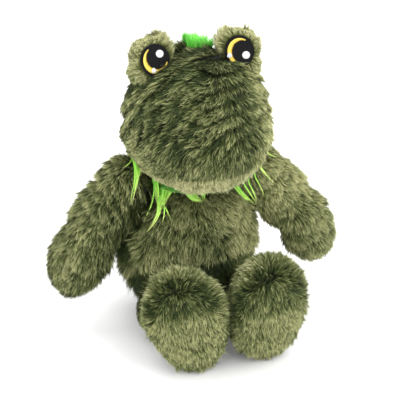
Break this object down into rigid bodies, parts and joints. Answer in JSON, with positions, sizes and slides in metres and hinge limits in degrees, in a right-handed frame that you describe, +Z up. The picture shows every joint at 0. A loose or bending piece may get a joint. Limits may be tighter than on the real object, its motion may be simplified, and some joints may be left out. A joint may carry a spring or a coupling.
{
  "type": "plush frog",
  "caption": "Seated long-pile plush frog with raised eye mounds, hanging arms, upright paddle feet and a shaggy neck ruff; turning head, arms, legs and feet.",
  "frame": {"origin": "centre of the cloth seat base on the surface the toy sits on", "axes": "+Z up, -Y the way the frog faces, +X the frog's left side"},
  "size_m": [0.2994, 0.2143, 0.3065],
  "materials": {
    "plush_olive": "deep pile faux fur, olive green",
    "plush_pale": "deep pile faux fur, pale olive",
    "plush_bright": "long pile faux fur, bright green",
    "plush_mane": "long pile faux fur, green with paler tips",
    "base_cloth": "short nap woven fabric",
    "bead_bag_cloth": "plain woven fabric",
    "polyester_fill": "loose polyester fibre",
    "sewing_thread": "twisted polyester thread",
    "embroidery_black": "satin stitch",
    "embroidery_amber": "satin stitch",
    "embroidery_white": "satin stitch"
  },
  "bodies": {
    "torso": {"torso_front_panel": "plush_olive", "torso_back_panel": "plush_olive", "seat_base_panel": "base_cloth", "torso_stuffing": "polyester_fill", "seat_pellet_bag": "bead_bag_cloth"},
    "neck_ring": {"mane_ruff": "plush_mane"},
    "head": {"head_front_panel": "plush_olive", "head_back_panel": "plush_olive", "chin_panel": "plush_pale", "head_stuffing": "polyester_fill", "head_tuft": "plush_bright", "eye_mound_left": "plush_pale", "eye_mound_stuffing_left": "polyester_fill", "eye_patch_left": "embroidery_black", "eye_iris_left": "embroidery_amber", "eye_highlight_large_left": "embroidery_white", "eye_highlight_small_left": "embroidery_white", "eye_mound_right": "plush_pale", "eye_mound_stuffing_right": "polyester_fill", "eye_patch_right": "embroidery_black", "eye_iris_right": "embroidery_amber", "eye_highlight_large_right": "embroidery_white", "eye_highlight_small_right": "embroidery_white"},
    "arm_left": {"arm_front_panel_left": "plush_olive", "arm_back_panel_left": "plush_olive", "arm_stuffing_left": "polyester_fill"},
    "shoulder_seam_left": {"shoulder_seam_thread_left": "sewing_thread"},
    "leg_left": {"leg_top_panel_left": "plush_olive", "leg_under_panel_left": "plush_olive", "leg_stuffing_left": "polyester_fill"},
    "hip_seam_left": {"hip_seam_thread_left": "sewing_thread"},
    "foot_left": {"foot_sole_left": "plush_olive", "foot_upper_left": "plush_pale", "foot_stuffing_left": "polyester_fill"},
    "arm_right": {"arm_front_panel_right": "plush_olive", "arm_back_panel_right": "plush_olive", "arm_stuffing_right": "polyester_fill"},
    "shoulder_seam_right": {"shoulder_seam_thread_right": "sewing_thread"},
    "leg_right": {"leg_top_panel_right": "plush_olive", "leg_under_panel_right": "plush_olive", "leg_stuffing_right": "polyester_fill"},
    "hip_seam_right": {"hip_seam_thread_right": "sewing_thread"},
    "foot_right": {"foot_sole_right": "plush_olive", "foot_upper_right": "plush_pale", "foot_stuffing_right": "polyester_fill"}
  },
  "joints": [
    {"name": "neck_turn", "type": "hinge", "parent": "torso", "child": "neck_ring", "pos_m": [0, -0.004, 0.15], "axis": [0, 0, 1], "range_deg": [-18, 18]},
    {"name": "head_nod", "type": "hinge", "parent": "neck_ring", "child": "head", "pos_m": [0, -0.004, 0.15], "axis": [1, 0, 0], "range_deg": [-15, 4]},
    {"name": "shoulder_swing_left", "type": "hinge", "parent": "torso", "child": "shoulder_seam_left", "pos_m": [0.069, -0.006, 0.152], "axis": [-1, 0, 0], "range_deg": [-30, 40]},
    {"name": "shoulder_raise_left", "type": "hinge", "parent": "shoulder_seam_left", "child": "arm_left", "pos_m": [0.069, -0.006, 0.152], "axis": [0, -1, 0], "range_deg": [0, 70]},
    {"name": "hip_spread_left", "type": "hinge", "parent": "torso", "child": "hip_seam_left", "pos_m": [0.042, -0.06, 0.03], "axis": [0, 0, 1], "range_deg": [0, 30]},
    {"name": "hip_swing_left", "type": "hinge", "parent": "hip_seam_left", "child": "leg_left", "pos_m": [0.042, -0.06, 0.03], "axis": [-1, 0, 0], "range_deg": [0, 38]},
    {"name": "ankle_left", "type": "hinge", "parent": "leg_left", "child": "foot_left", "pos_m": [0.045, -0.104, 0.047], "axis": [-1, 0, 0], "range_deg": [-5, 27]},
    {"name": "shoulder_swing_right", "type": "hinge", "parent": "torso", "child": "shoulder_seam_right", "pos_m": [-0.069, -0.006, 0.152], "axis": [-1, 0, 0], "range_deg": [-30, 40]},
    {"name": "shoulder_raise_right", "type": "hinge", "parent": "shoulder_seam_right", "child": "arm_right", "pos_m": [-0.069, -0.006, 0.152], "axis": [0, 1, 0], "range_deg": [0, 70]},
    {"name": "hip_spread_right", "type": "hinge", "parent": "torso", "child": "hip_seam_right", "pos_m": [-0.042, -0.06, 0.03], "axis": [0, 0, -1], "range_deg": [0, 30]},
    {"name": "hip_swing_right", "type": "hinge", "parent": "hip_seam_right", "child": "leg_right", "pos_m": [-0.042, -0.06, 0.03], "axis": [-1, 0, 0], "range_deg": [0, 38]},
    {"name": "ankle_right", "type": "hinge", "parent": "leg_right", "child": "foot_right", "pos_m": [-0.045, -0.104, 0.047], "axis": [-1, 0, 0], "range_deg": [-5, 27]}
  ]
}
